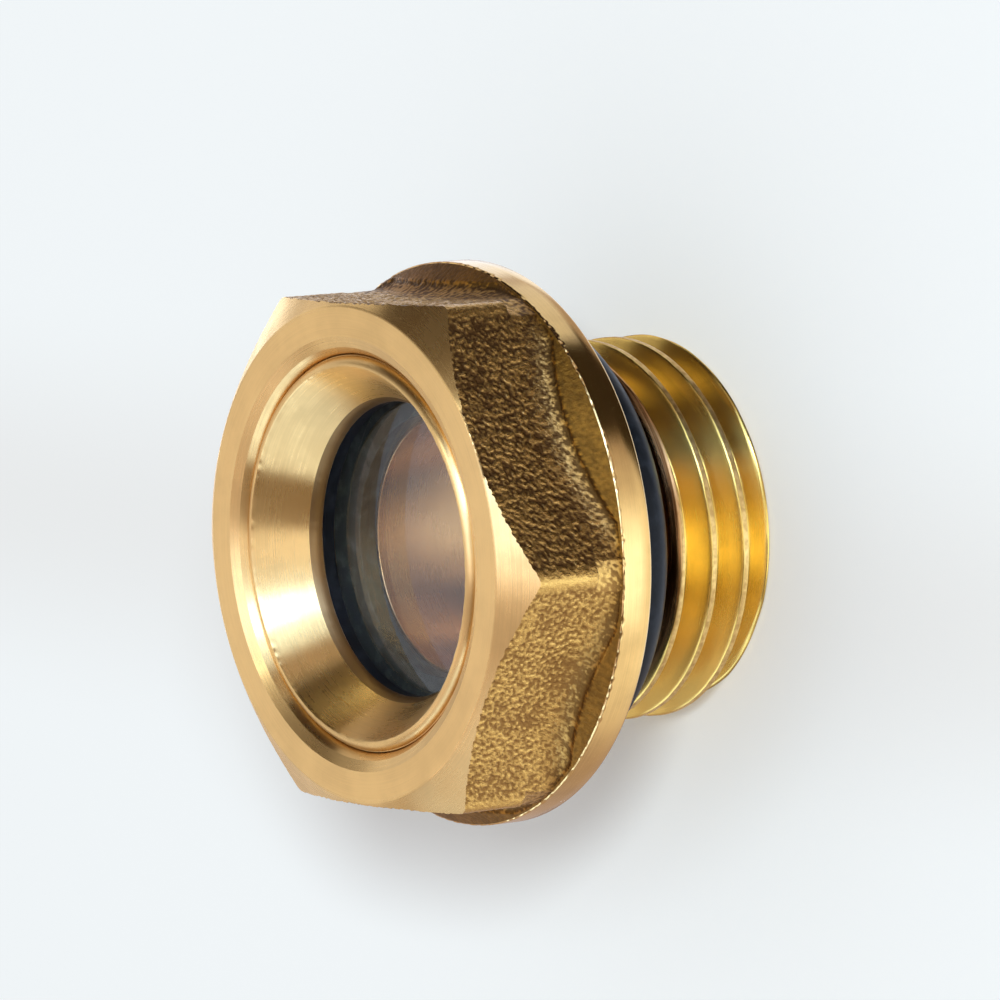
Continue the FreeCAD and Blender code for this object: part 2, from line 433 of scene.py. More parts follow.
# %% The floor
FLOOR_Z, FLOOR_R = cad_box[0][2], 1.2
PAPER_GLOW = 0.15
bpy.ops.mesh.primitive_circle_add(vertices=96, radius=FLOOR_R, fill_type="NGON",
                                  location=(0, 0, FLOOR_Z))
floor = bpy.context.object
floor.name = "floor"
paper = bpy.data.materials.new("white paper")
paper.use_nodes = True
tree = paper.node_tree
tree.nodes.clear()
spot = add(tree, "ShaderNodeTexCoord").outputs["Object"]
matt = add(tree, "ShaderNodeBsdfDiffuse")
plug(tree, paper_shades(tree, spot), matt.inputs[0])
glow = add(tree, "ShaderNodeEmission", in0=BACKDROP, in1=1.0)
through = add(tree, "ShaderNodeBsdfTransparent")
path = add(tree, "ShaderNodeLightPath")
glow_share = reckon(tree, "MULTIPLY", path.outputs["Is Camera Ray"], PAPER_GLOW)
seen = mix_shaders(tree, glow_share, matt.outputs[0], glow.outputs[0])
mirrored = mix_shaders(tree, path.outputs["Is Glossy Ray"], seen, through.outputs[0])
plug(tree, mirrored, add(tree, "ShaderNodeOutputMaterial").inputs["Surface"])
floor.data.materials.append(paper)
print("floor at", round(FLOOR_Z / MM, 2), "mm")

# %% The lamp that gives the shadow
LAMP_SIZE, LAMP_AWAY, LAMP_POWER = 0.26, 1.20, 10.4
lamp = bpy.data.objects.new("soft lamp", bpy.data.lights.new("soft lamp", "AREA"))
bpy.context.collection.objects.link(lamp)
lamp.data.shape = "DISK"
lamp.data.size = LAMP_SIZE
lamp.data.color = (0.90, 0.99, 1.0)
lamp.data.energy = LAMP_POWER
lamp.visible_glossy = False
lamp_way = (back + 0.15 * upward - 0.08 * right).normalized()
lamp.location = lamp_way * LAMP_AWAY
lamp.rotation_euler = lamp_way.to_track_quat("Z", "Y").to_euler()
print("lamp", LAMP_SIZE, "m wide,", LAMP_AWAY, "m away,", LAMP_POWER, "W")

# %% [markdown]
# ## Brass cut on a lathe
# All the metal is brass. The turned faces have one colour, the thread is a little yellower, and
# the bore and the lip next to the glass are duller, and painted darker as shade. A turned face
# has fine rings left by the tool, which smear every reflection across the rings, so its shader
# is anisotropic and its small bumps follow the radius and the height. A picture of such rings
# could be wrapped round the part, but noise that follows the radius and the height needs none
# and has no seam.

# %% Where a point lies, and noise
TO_MM = 1000.0


def position(tree):
    """The radius and the height of a point, in mm, its angle, and the point itself."""
    place = add(tree, "ShaderNodeTexCoord").outputs["Object"]
    split = add(tree, "ShaderNodeSeparateXYZ")
    plug(tree, place, split.inputs[0])
    x, y, z = split.outputs
    return (reckon(tree, "MULTIPLY", diagonal(tree, x, y), TO_MM),
            reckon(tree, "MULTIPLY", z, TO_MM), reckon(tree, "ARCTAN2", y, x), place)


def noise(tree, vector, scale, detail=2.0, roughness=0.5):
    """Cloudy noise from 0 to 1, with so many clouds to a unit of the vector."""
    node = add(tree, "ShaderNodeTexNoise", noise_dimensions="3D")
    node.inputs["Scale"].default_value = scale
    node.inputs["Detail"].default_value = detail
    node.inputs["Roughness"].default_value = roughness
    plug(tree, vector, node.inputs["Vector"])
    return node.outputs["Fac"]


def joined(tree, x, y, z):
    """A vector from three numbers or outputs."""
    node = add(tree, "ShaderNodeCombineXYZ")
    for value, socket in zip((x, y, z), node.inputs):
        plug(tree, value, socket)
    return node.outputs[0]


print("finishes reckon in mm, which is metres times", TO_MM)

# %% What every finish starts from
def main_shader(finish):
    """The shader that a new material comes with."""
    return next(n for n in finish.node_tree.nodes if n.type == "BSDF_PRINCIPLED")


def new_finish(name):
    """A new material with its node tree and its main shader."""
    finish = bpy.data.materials.new(name)
    finish.use_nodes = True
    return finish, finish.node_tree, main_shader(finish)


def add_bumps(tree, shader, pattern, height):
    """Small bumps in a pattern, up to so many mm high."""
    bump = add(tree, "ShaderNodeBump")
    bump.inputs["Strength"].default_value = 1.0
    bump.inputs["Distance"].default_value = height * MM
    plug(tree, pattern, bump.inputs["Height"])
    plug(tree, bump.outputs[0], shader.inputs["Normal"])


def set_looks(tree, shader, **looks):
    """Set or link inputs of the shader by name, with _ for a space."""
    for name, value in looks.items():
        plug(tree, value, shader.inputs[name.replace("_", " ")])


print("finishes are made with", new_finish.__name__, set_looks.__name__, add_bumps.__name__)

# %% Rings of tool marks
def turned_brass(name, colour, roughness, groove, anisotropy, stain=0.18, tool_mark=0.05):
    """Brass cut on a lathe: rings of tool marks, a little stain, stretched reflections."""
    finish, tree, shader = new_finish(name)
    radius, height, turn, place = position(tree)
    fine = joined(tree, reckon(tree, "DIVIDE", radius, tool_mark),
                  reckon(tree, "DIVIDE", height, tool_mark), reckon(tree, "MULTIPLY", turn, 1.5))
    marks = noise(tree, fine, scale=1.0, detail=3.0, roughness=0.7)
    cloud = noise(tree, place, scale=420.0, detail=4.0, roughness=0.6)
    tint = reckon(tree, "ADD", reckon(tree, "MULTIPLY", marks, 0.35),
                  reckon(tree, "MULTIPLY", cloud, 0.65))
    worn = tuple(c * (1 - stain) for c in colour)
    fac = between(tree, tint, 0.35, 0.62)
    along_rings = add(tree, "ShaderNodeTangent", direction_type="RADIAL", axis="Z")
    set_looks(tree, shader, Base_Color=shade(tree, fac, worn, colour), Metallic=1.0,
              Roughness=between(tree, tint, 0.3, 0.7, roughness * 1.2, roughness * 0.85),
              Anisotropic=anisotropy, Anisotropic_Rotation=0.25, Tangent=along_rings.outputs[0])
    add_bumps(tree, shader, marks, groove)
    return finish


BRASS = (0.84, 0.56, 0.22)
fine_turned = turned_brass("fine turned brass", BRASS, 0.27, 0.0018, 0.92)
print(fine_turned.name, "with", len(fine_turned.node_tree.nodes), "nodes")

# %% The other turned finishes
THREAD_BRASS = (0.88, 0.60, 0.15)
# the bore and the lip are painted darker: painted shade inside the bore and next to the glass
SHADED_BORE_BRASS = (0.50, 0.29, 0.12)
SHADED_LIP_BRASS = (0.29, 0.175, 0.07)
face_turned = turned_brass("turned front face", BRASS, 0.36, 0.0022, 0.45, stain=0.12)
rim_turned = turned_brass("turned rim", BRASS, 0.15, 0.0018, 0.4)
thread_cut = turned_brass("cut thread", THREAD_BRASS, 0.24, 0.0018, 0.85, tool_mark=0.035)
dull_shaded_bore = turned_brass("dull shaded bore", SHADED_BORE_BRASS, 0.26, 0.0018, 0.4)
dull_shaded_lip = turned_brass("dull shaded lip", SHADED_LIP_BRASS, 0.38, 0.0018, 0.5)
print("also", [finish.name for finish in (face_turned, rim_turned, thread_cut, dull_shaded_bore, dull_shaded_lip)])

# %% Wear on the thread, and painted shade on its run-in
RUN_IN_FOOT, RUN_IN_TOP = -3.62, -3.40
TORN_CREST = ((0.60, 0.37, 0.12), (0.88, 0.62, 0.24))
RUN_IN_SHADE = ((0.18, 0.07, 0.02), (0.80, 0.42, 0.16))


def wear_and_shade_thread(finish):
    """The crests are torn and pale; the run-in by the seal is painted shade, dark with lighter
    lines.
    """
    tree, shader = finish.node_tree, main_shader(finish)
    radius, height, turn, place = position(tree)
    crest = add(tree, "ShaderNodeAttribute", attribute_name="crest").outputs["Fac"]
    torn = noise(tree, place, scale=4200.0, detail=4.0, roughness=0.7)
    fresh = shader.inputs["Base Color"].links[0].from_socket
    pale = shade(tree, between(tree, torn, 0.35, 0.65), *TORN_CREST)
    colour = shade(tree, crest, fresh, pale)
    round_lines = joined(tree, reckon(tree, "MULTIPLY", radius, 9.0),
                         reckon(tree, "MULTIPLY", height, 9.0), turn)
    lines = noise(tree, round_lines, scale=1.0, detail=2.0, roughness=0.6)
    # painted shade on the run-in under the flange, streaked with the lathe's lines
    run_in_shade = shade(tree, between(tree, lines, 0.42, 0.60), *RUN_IN_SHADE)
    in_run_in = between(tree, height, RUN_IN_FOOT, RUN_IN_TOP)
    smear = shader.inputs["Roughness"].links[0].from_socket
    set_looks(tree, shader, Base_Color=shade(tree, in_run_in, colour, run_in_shade),
              Roughness=reckon(tree, "ADD", smear, reckon(tree, "MULTIPLY", crest, 0.16)))


wear_and_shade_thread(thread_cut)
print(thread_cut.name, "now with", len(thread_cut.node_tree.nodes), "nodes")

# %% [markdown]
# ## Forged brass
# The six flats keep the skin that the forging left: matt, grainy, dark in its pits and brighter
# on its tips. One noise could colour it evenly, but then the dark spots would lie anywhere. The
# head's mesh will say how deep each point is cut, as an attribute, so this finish reads that
# and darkens the real pits. A second attribute marks the foot of the flats, where the brass is
# browner and duller, and painted darker as shade. The flats on one side are painted darker as
# shade too.

# %% A finish that darkens the pits
DARK_FROM_X, DARK_AT_X = -0.65, 0.15
GRIT_HIGH = 0.036
# the colours of tips and pits: on the plain flats, on those painted darker as shade, and at their
# feet
PLAIN_SIDE = ((0.74, 0.47, 0.14), (0.34, 0.18, 0.05))
DARK = ((0.60, 0.36, 0.11), (0.145, 0.072, 0.023))
PLAIN_SIDE_FOOT = ((0.34, 0.155, 0.024), (0.13, 0.058, 0.011))
DARK_FOOT = ((0.30, 0.13, 0.016), (0.085, 0.038, 0.007))


def forged_brass(name):
    """The grainy skin of the forging, dark in its pits and bright on its tips."""
    finish, tree, shader = new_finish(name)
    place = add(tree, "ShaderNodeTexCoord").outputs["Object"]
    depth = add(tree, "ShaderNodeAttribute", attribute_name="pit").outputs["Fac"]
    foot = add(tree, "ShaderNodeAttribute", attribute_name="foot").outputs["Fac"]
    cloud = noise(tree, place, scale=900.0, detail=3.0, roughness=0.6)
    # darker where the grain is cut deeper, and in random clouds
    pit_and_cloud = reckon(tree, "ADD", reckon(tree, "MULTIPLY", depth, 0.75),
                  reckon(tree, "MULTIPLY", cloud, 0.35))
    fac = between(tree, pit_and_cloud, 0.25, 0.8)
    # painted shade: the flats on the +X side are painted browner and darker than the others
    side_x = reckon(tree, "MULTIPLY", dot(tree, place, (1, 0, 0)), TO_MM)
    shaded_side = between(tree, side_x, DARK_FROM_X, DARK_AT_X)
    on_flats = shade(tree, shaded_side, shade(tree, fac, *PLAIN_SIDE), shade(tree, fac, *DARK))
    # at the foot the brass is browner, its own colour, and painted darker as shade
    at_foot = shade(tree, shaded_side, shade(tree, fac, *PLAIN_SIDE_FOOT), shade(tree, fac, *DARK_FOOT))
    rough = between(tree, pit_and_cloud, 0.2, 0.8, 0.26, 0.42)
    set_looks(tree, shader, Base_Color=shade(tree, foot, on_flats, at_foot), Metallic=1.0,
              Roughness=reckon(tree, "ADD", rough, reckon(tree, "MULTIPLY", foot, 0.12)))
    grit = noise(tree, place, scale=8500.0, detail=3.0, roughness=0.65)
    add_bumps(tree, shader, grit, GRIT_HIGH)
    return finish


forged = forged_brass("forged skin")
print(forged.name, "with", len(forged.node_tree.nodes), "nodes")

# %% [markdown]
# ## The forged head
# The flats run down into a hollow foot. The flange's front is a cone, and where the cone meets
# the hollow there is a small ragged crease. A boolean of a prism and a disc would leave long
# thin faces that can't carry grain, so the head is a stack of rings instead. Each flat is a
# plane, so the radius at any angle is its distance over a cosine, and the smallest of the six
# is the hexagon. A soft smallest value rounds the corners.

# %% Hexagon and flange in numbers
CORNER_R = 9.812
CORNER_ANGLES = [30, 90, 150, 210, 267.4, 330]
CHAMFER = math.tan(math.radians(32))
FACE_R, FACE_Z = 8.375, 5.5
FLANGE_R, FLANGE_Z = 9.6, 1.17
CONE_SLOPE = 0.98
# the cone begins this far in from the flange's edge and this far above it
RIM_IN, RIM_UP = 0.05, 0.01
HOLLOW_H, HOLLOW_W = 1.1, 0.50
# points in a ring with grain, and in a plain turned one
FINE, COARSE = 1080, 360
# more rounding is a sharper corner, and the typical radius keeps the powers small
ROUNDING, TYPICAL_R = 9, 9


def hexagon_radius(turn):
    """Radius of the rounded hexagon at each angle."""
    total = 0
    for k in range(6):
        a0 = math.radians(CORNER_ANGLES[k - 1] - (360 if k == 0 else 0))
        a1 = math.radians(CORNER_ANGLES[k])
        p0 = np.array([math.cos(a0), math.sin(a0)]) * CORNER_R
        p1 = np.array([math.cos(a1), math.sin(a1)]) * CORNER_R
        normal = np.array([p1[1] - p0[1], p0[0] - p1[0]])
        normal /= np.linalg.norm(normal)
        facing = normal[0] * np.cos(turn) + normal[1] * np.sin(turn)
        reach = (normal @ p0) / np.maximum(facing, 0.05)
        total = total + np.exp(-ROUNDING * (reach - TYPICAL_R))
    return TYPICAL_R - np.log(total) / ROUNDING


def smooth(value, low, high):
    """0 below low, 1 above high, and a smooth step between."""
    part = np.clip((value - low) / (high - low), 0, 1)
    return part * part * (3 - 2 * part)


def chamfer_height(radius, under):
    """Height of the chamfer at a radius, and at least a little under the front face."""
    return np.minimum(FACE_Z - (radius - FACE_R) * CHAMFER, FACE_Z - under)


turn = np.arange(FINE) * 2 * math.pi / FINE
hexagon = hexagon_radius(turn)
print("hexagon", round(2 * float(hexagon.min()), 2), "mm across flats,",
      round(2 * float(hexagon.max()), 2), "mm across corners")

# %% [markdown]
# ## The forged skin
# The skin is laid out in three belts of rows: up the cone, round the hollow, and up the flats
# to the chamfer. Bump in a material alone would leave the outline of the part too clean, so the
# grain is cut into the rows themselves. It is a sum of many random waves of about one length,
# and it only ever cuts inwards, so the head stays within its drawn size.

# %% Where the belts meet
FOOT_IN, LIP_IN = 0.12, 0.07
foot_w = np.clip(FLANGE_R - FOOT_IN - hexagon, 0, HOLLOW_W)
lip_r = np.minimum(hexagon + foot_w, FLANGE_R - LIP_IN)
lip_z = FLANGE_Z + RIM_UP + (FLANGE_R - RIM_IN - lip_r) / CONE_SLOPE
foot_z = lip_z + HOLLOW_H
edge_z = chamfer_height(hexagon, 0.01)
print("hollow foot from", round(float(lip_z.min()), 2), "mm up, flats to",
      round(float(edge_z.max()), 2), "mm")

# %% Rows of the forged skin, from the flange up to the chamfer
CONE_ROWS, HOLLOW_ROWS, FLAT_ROWS = 7, 19, 42
CONE_TILT = 48
# tilt is how far a cut into the row leans downwards, in degrees; share_up goes from -1 at the
# rim through 0 and 1 at both ends of the hollow to 2 at the chamfer
radius, height, tilt, share_up = [], [], [], []
for k in range(CONE_ROWS):
    part = k / CONE_ROWS
    radius.append(FLANGE_R - RIM_IN + (lip_r - FLANGE_R + RIM_IN) * part)
    height.append(FLANGE_Z + RIM_UP + (lip_z - FLANGE_Z - RIM_UP) * part)
    tilt.append(CONE_TILT)
    share_up.append(-1 + part)
for k in range(HOLLOW_ROWS):
    bend = math.radians(90) * (1 - k / HOLLOW_ROWS)
    radius.append(np.minimum(hexagon, lip_r) + foot_w * (1 - math.cos(bend)))
    height.append(foot_z - HOLLOW_H * math.sin(bend))
    tilt.append(math.degrees(bend) * 0.6)
    share_up.append(k / HOLLOW_ROWS)
for k in range(FLAT_ROWS):
    part = k / (FLAT_ROWS - 1)
    radius.append(hexagon)
    height.append(foot_z + (edge_z - foot_z) * part)
    tilt.append(0)
    share_up.append(1 + part)
rows_up = len(radius)
radius, height = np.array(radius), np.array(height)
# the corners reach further out than the flange, so their feet are turned down to it
corner_limit = FLANGE_R - RIM_IN + 0.2 * smooth(height, FLANGE_Z + 0.05, FLANGE_Z + 0.9)
radius = np.minimum(radius, corner_limit)
skin_points = np.stack([radius * np.cos(turn), radius * np.sin(turn), height], 2)
print(rows_up, "rows of", FINE, "points")

# %% A random field, and the grain that it gives
def waves(points, wavelength, count, seed):
    """A smooth random field: many waves of about one length, in all directions."""
    rng = np.random.default_rng(seed)
    ways = rng.normal(size=(count, 3))
    ways /= np.linalg.norm(ways, axis=1)[:, None]
    ways *= (2 * math.pi / wavelength) * rng.uniform(0.6, 1.6, size=(count, 1))
    phase = rng.uniform(0, 2 * math.pi, size=count)
    flat = points.reshape(-1, 3)
    total = np.zeros(len(flat))
    for way, start in zip(ways, phase):
        total += np.cos(flat @ way + start)
    return (total / math.sqrt(count / 2)).reshape(points.shape[:-1])


# each field: its wavelength in mm, how many waves, and its seed
grain = waves(skin_points, 0.22, 110, 11) + 0.6 * waves(skin_points, 0.13, 80, 12)
patches = waves(skin_points, 2.4, 24, 13)
print("grain from", round(float(grain.min()), 1), "to", round(float(grain.max()), 1))

# %% Cut the grain and the crease into the rows
GRAIN_DEEP, CREASE_DEEP = 0.052, 0.026
share_up = np.array(share_up)[:, None]
pit = 0.5 + 0.5 * np.tanh(0.8 * grain + 0.25 * patches)
on_flat = smooth(share_up, 0.45, 1.15)
on_cone = 1 - smooth(share_up, -0.15, 0.05)
near_corner = smooth(hexagon, 9.50, 9.71)
depth = 0.30 + 0.70 * on_flat
depth = depth * (1 - 0.6 * near_corner * on_flat) * (1 - 0.72 * on_cone)
ragged = np.clip(0.6 + 0.4 * waves(skin_points, 0.60, 60, 14), 0, 1.3)
crease = np.exp(-((share_up - 0.17) / 0.10) ** 2) * ragged * smooth(foot_w, 0.0, 0.2)
cut = GRAIN_DEEP * depth * pit + CREASE_DEEP * crease
lean = np.radians(np.array(tilt))[:, None]
wall = radius - cut * np.cos(lean)
height = height - cut * np.sin(lean)
edge = wall[-1]
height[-1] = chamfer_height(edge, 0.01)
forged_rows = [ring_points(wall[k], height[k], FINE) for k in range(rows_up)]
print("grain up to", round(float(cut.max()), 3), "mm deep")

# %% [markdown]
# ## The whole head
# The turned faces of the head are plain rings, so they need only a third of the points. The rim
# of the flange is ragged with small nicks, and they follow a random field too. The forged skin
# and the turned faces could be two meshes, but a gap would show where they meet. All rings go
# into one closed skin instead, up the outside and down the bore. It closes inside the neck,
# where the threaded stem takes over.

# %% Rings up the neck and round the rim
BORE_R, NECK_R, FILLET_R = 4.35, 5.6, 0.25
SEAM_Z = -1.2
HEAD_FINISHES = [fine_turned, forged, face_turned, dull_shaded_bore, rim_turned]
TURNED, FORGED, FRONT, DULL_SHADED, RIM = range(5)
NICK_LONG, NICK_MEAN, NICK_SWING = 0.45, 0.033, 0.017
nick = waves(ring_points(FLANGE_R, 1.1, FINE), NICK_LONG, 30, 21)
nick = np.clip(nick, -0.6, 1.8) * NICK_SWING + NICK_MEAN
below = [(BORE_R, SEAM_Z), (NECK_R, SEAM_Z), (NECK_R, -0.3)]
below += [(NECK_R + FILLET_R * (1 - math.cos(a)), -FILLET_R + FILLET_R * math.sin(a))
          for a in np.radians([15, 30, 45, 60, 75, 90])]
below += [(7.5, 0), (9.2, 0), (FLANGE_R - 0.1, 0), (FLANGE_R - 0.03, 0.03), (FLANGE_R, 0.1),
          (FLANGE_R, 0.5)]
rings = [ring_points(r, z, COARSE) for r, z in below]
bands = [TURNED] * (len(below) - 3) + [RIM] * 3
sharp = [0, 1]
# how far each ring lies below the cone's foot, and how far in, both in depths of the nick
for drop, bite in ((2.5, 0.0), (1.9, 0.0), (1.0, 0.25), (0.35, 0.75)):
    rings.append(ring_points(FLANGE_R - bite * nick, FLANGE_Z - drop * nick, FINE))
    bands.append(RIM)
print("nicks", round(float(nick.min()), 3), "to", round(float(nick.max()), 3), "mm")

# %% Rings over the chamfer, the front face and down the bore
RING_BORE_R, GLASS_BORE_R = 6.75, 6.1
RING_SEAT, SHOULDER = 3.2, 0.6
first_forged = len(rings)
rings += forged_rows
bands += [FORGED] * (rows_up - 1) + [TURNED]
sharp.append(len(rings) - 1)
r = edge + (FACE_R - edge) * 0.3
rings.append(ring_points(r, chamfer_height(r, 0.008), FINE))
bands.append(TURNED)
above = [(FACE_R + 0.05, FACE_Z - 0.05 * CHAMFER), (FACE_R, FACE_Z - 0.006),
         (FACE_R - 0.05, FACE_Z), (8.0, FACE_Z), (7.6, FACE_Z), (7.345, FACE_Z)]
above_bands = [TURNED, TURNED, FRONT, FRONT, FRONT, TURNED]
inside = [(6.98, 5.335), (6.81, 5.13), (6.765, 5.06), (RING_BORE_R, 4.98), (RING_BORE_R, 4.0),
          (RING_BORE_R, RING_SEAT), (GLASS_BORE_R, RING_SEAT), (GLASS_BORE_R, SHOULDER),
          (BORE_R + 0.02, SHOULDER), (BORE_R, 0.58), (BORE_R, 0.0), (BORE_R, -0.6)]
start_inside = len(rings) + len(above)
for r, z in above + inside:
    rings.append(ring_points(r, z, COARSE))
bands += above_bands + [TURNED] * len(inside)
# the inner edge of the front face, the chamfer there, and the steps of the bore
sharp += [start_inside + k for k in (-1, 0, 5, 6, 7, 8, 9)]
# the rings down the bore take the darker brass, painted shade
bands[0] = DULL_SHADED
bands[-6:] = [DULL_SHADED] * 6
print(len(rings), "rings in the head")

# %% Close the skin, and mark the pits and the foot for the finish
head = skin("forged_head", rings, HEAD_FINISHES, bands, sharp)
start = sum(len(r) for r in rings[:first_forged])
even = 1 - 0.8 * on_cone
# darker in the pits of the grain, and along the crease as painted shade; lighter at the worn corners
pit_and_crease = np.clip((0.5 + (pit - 0.5) * even) * (1 - 0.8 * near_corner * on_flat) + 0.6 * crease, 0, 1)
low_down = (1 - smooth(share_up, 0.0, 0.75)) * np.ones(FINE)
for name, values in (("pit", pit_and_crease), ("foot", low_down)):
    whole = np.zeros(len(head.data.vertices))
    whole[start:start + rows_up * FINE] = values.ravel()
    head.data.attributes.new(name, "FLOAT", "POINT").data.foreach_set("value", whole)
print("pits and foot marked on", rows_up * FINE, "points")

# %% [markdown]
# ## The threaded stem
# A lathe first turns a plain blank, and then a pointed tool cuts the thread into it. The
# stem is made in the same order: a turned blank with closely spaced rings, and a Geometry Nodes
# tree that moves each point inwards by the depth that the tool reaches there. A Screw modifier
# could wind up a thread as well, but it leaves a spiral edge to be joined to plain ends, and
# the cut blank is closed from the start. The tree has named inputs for the pitch, the depth and
# the rest, so other sizes of this thread can be cut with it.

# %% Named inputs of the thread tool
cutting = bpy.data.node_groups.new("cut thread", "GeometryNodeTree")
sockets = cutting.interface
sockets.new_socket("Blank", in_out="INPUT", socket_type="NodeSocketGeometry")
for name in ("Pitch", "Depth", "Crest radius", "Crest height", "Start", "End", "Round",
             "Crest width", "Tear"):
    sockets.new_socket(name, in_out="INPUT", socket_type="NodeSocketFloat")
sockets.new_socket("Finish", in_out="INPUT", socket_type="NodeSocketMaterial")
sockets.new_socket("Stem", in_out="OUTPUT", socket_type="NodeSocketGeometry")
given = add(cutting, "NodeGroupInput").outputs
print("inputs of", cutting.name, [socket.name for socket in given if socket.name])

# %% How far a point lies from the nearest crest, along the axis
def calc(*step):
    """One step of arithmetic in the thread tool."""
    return reckon(cutting, *step)


split = add(cutting, "ShaderNodeSeparateXYZ")
plug(cutting, add(cutting, "GeometryNodeInputPosition").outputs[0], split.inputs[0])
x, y, z = split.outputs
turn = calc("DIVIDE", calc("ARCTAN2", y, x), 2 * math.pi)
rise = calc("SUBTRACT", calc("SUBTRACT", z, given["Crest height"]),
            calc("MULTIPLY", given["Pitch"], turn))
part = calc("FRACT", calc("ADD", calc("DIVIDE", rise, given["Pitch"]), 0.5))
away = calc("ABSOLUTE", calc("SUBTRACT", part, 0.5))
away = calc("MULTIPLY", away, given["Pitch"])
print("nodes in the tool so far:", len(cutting.nodes))

# %% How deep the tool reaches there
FLANK_ANGLE = math.radians(55)
# the flanks are straight, and the crest and the root are rounded off equally
slope = math.tan(math.pi / 2 - FLANK_ANGLE / 2)
middle = calc("MULTIPLY", calc("SUBTRACT", away, calc("MULTIPLY", given["Pitch"], 0.25)), slope)
half = calc("MULTIPLY", given["Depth"], 0.5)
low = calc("SMOOTH_MIN", middle, half, given["Round"])
high = calc("SMOOTH_MAX", low, calc("MULTIPLY", half, -1.0), given["Round"])
reach = calc("ADD", high, half)
target = calc("SUBTRACT", given["Crest radius"], reach)
print("a flank goes", round(slope, 2), "mm in for each mm along")

# %% Tear the crest a little
TEARS_PER_METRE = 3800.0
torn = add(cutting, "ShaderNodeTexNoise", noise_dimensions="3D")
torn.inputs["Scale"].default_value = TEARS_PER_METRE
torn.inputs["Detail"].default_value = 2.0
edge_share = calc("DIVIDE", away, calc("MULTIPLY", given["Crest width"], 0.5))
on_crest = between(cutting, edge_share, 1.25, 0.75)
bite = calc("MULTIPLY", between(cutting, torn.outputs["Fac"], 0.35, 0.7), on_crest)
bite = calc("MULTIPLY", bite, given["Tear"])
radius = diagonal(cutting, x, y)
new_radius = calc("MINIMUM", radius, calc("SUBTRACT", target, bite))
print("tears about", round(1000 / TEARS_PER_METRE, 2), "mm long")

# %% Move the points under the tool, and mark the crest for the finish
in_thread = calc("MULTIPLY", calc("LESS_THAN", z, given["Start"]),
                 calc("GREATER_THAN", z, given["End"]))
outside = calc("GREATER_THAN", radius, calc("SUBTRACT", given["Crest radius"],
                                          calc("MULTIPLY", given["Depth"], 1.02)))
scale = calc("DIVIDE", new_radius, calc("MAXIMUM", radius, 1e-6))
shift = add(cutting, "GeometryNodeSetPosition")
plug(cutting, given["Blank"], shift.inputs["Geometry"])
plug(cutting, calc("MULTIPLY", in_thread, outside), shift.inputs["Selection"])
plug(cutting, joined(cutting, calc("MULTIPLY", x, scale), calc("MULTIPLY", y, scale), z),
     shift.inputs["Position"])
keep = add(cutting, "GeometryNodeStoreNamedAttribute", data_type="FLOAT", domain="POINT")
plug(cutting, shift.outputs[0], keep.inputs["Geometry"])
keep.inputs["Name"].default_value = "crest"
plug(cutting, calc("MULTIPLY", on_crest, outside), keep.inputs["Value"])
real = add(cutting, "GeometryNodeRealizeInstances")
plug(cutting, keep.outputs[0], real.inputs[0])
paint = add(cutting, "GeometryNodeSetMaterial")
plug(cutting, real.outputs[0], paint.inputs["Geometry"])
plug(cutting, outside, paint.inputs["Selection"])
plug(cutting, given["Finish"], paint.inputs["Material"])
plug(cutting, paint.outputs[0], add(cutting, "NodeGroupOutput").inputs[0])
print("nodes in the whole tool:", len(cutting.nodes))

# %% Turn the blank
PITCH = 25.4 / 19
CREST_R = 6.5785
THREAD_END = -7.5
ROW_STEP = 0.034
blank = [(BORE_R, SEAM_Z), (NECK_R, SEAM_Z), (NECK_R, -2.2), (NECK_R, -3.0), (NECK_R, -3.17),
         (5.64, -3.20), (5.75, -3.215), (5.95, -3.23), (6.15, -3.245), (6.30, -3.26),
         (6.36, -3.29), (6.42, -3.33), (6.47, -3.37), (6.52, -3.42), (6.56, -3.47)]
thread_rows = np.arange(-3.504, -7.12, -ROW_STEP)
blank += [(CREST_R, float(z)) for z in thread_rows]
blank += [(6.55, -7.16), (6.50, -7.23), (6.42, -7.30), (6.33, -7.37), (6.22, -7.43), (6.08, -7.48),
          (5.95, -7.495), (5.7, THREAD_END), (5.2, THREAD_END), (BORE_R + 0.28, THREAD_END),
          (BORE_R + 0.25, THREAD_END + 0.01), (BORE_R, THREAD_END + 0.28), (BORE_R, -6.0),
          (BORE_R, -4.5), (BORE_R, -3.0)]
blank_rings, blank_sharp = turned_rings(blank, 480)
in_bore = [int(max(a[0, 0], b[0, 0]) < BORE_R + 0.01)
           for a, b in zip(blank_rings, blank_rings[1:] + blank_rings[:1])]
stem = skin("threaded_stem", blank_rings, [thread_cut, dull_shaded_bore], in_bore, blank_sharp)

# %% Cut the thread
THREAD = {"Pitch": PITCH * MM, "Depth": 0.640327 * PITCH * MM, "Crest radius": CREST_R * MM,
          "Crest height": -5.86 * MM, "Start": -3.20 * MM, "End": -7.495 * MM, "Round": 0.11 * MM,
          "Crest width": PITCH / 8 * MM, "Tear": 0.014 * MM}
tool = stem.modifiers.new("cut thread", "NODES")
tool.node_group = cutting
for item in cutting.interface.items_tree:
    if item.in_out == "INPUT" and item.name in THREAD:
        tool[item.identifier] = THREAD[item.name]
    if item.in_out == "INPUT" and item.name == "Finish":
        tool[item.identifier] = thread_cut
evaluated = stem.evaluated_get(bpy.context.evaluated_depsgraph_get())
cut_mesh = bpy.data.meshes.new_from_object(evaluated)
stem.modifiers.remove(tool)
stem.data = cut_mesh
co = np.empty(3 * len(cut_mesh.vertices))
cut_mesh.vertices.foreach_get("co", co)
co = co.reshape(-1, 3) / MM
print("thread cut to radius", round(float(np.hypot(co[:, 0], co[:, 1]).max()), 3), "mm")

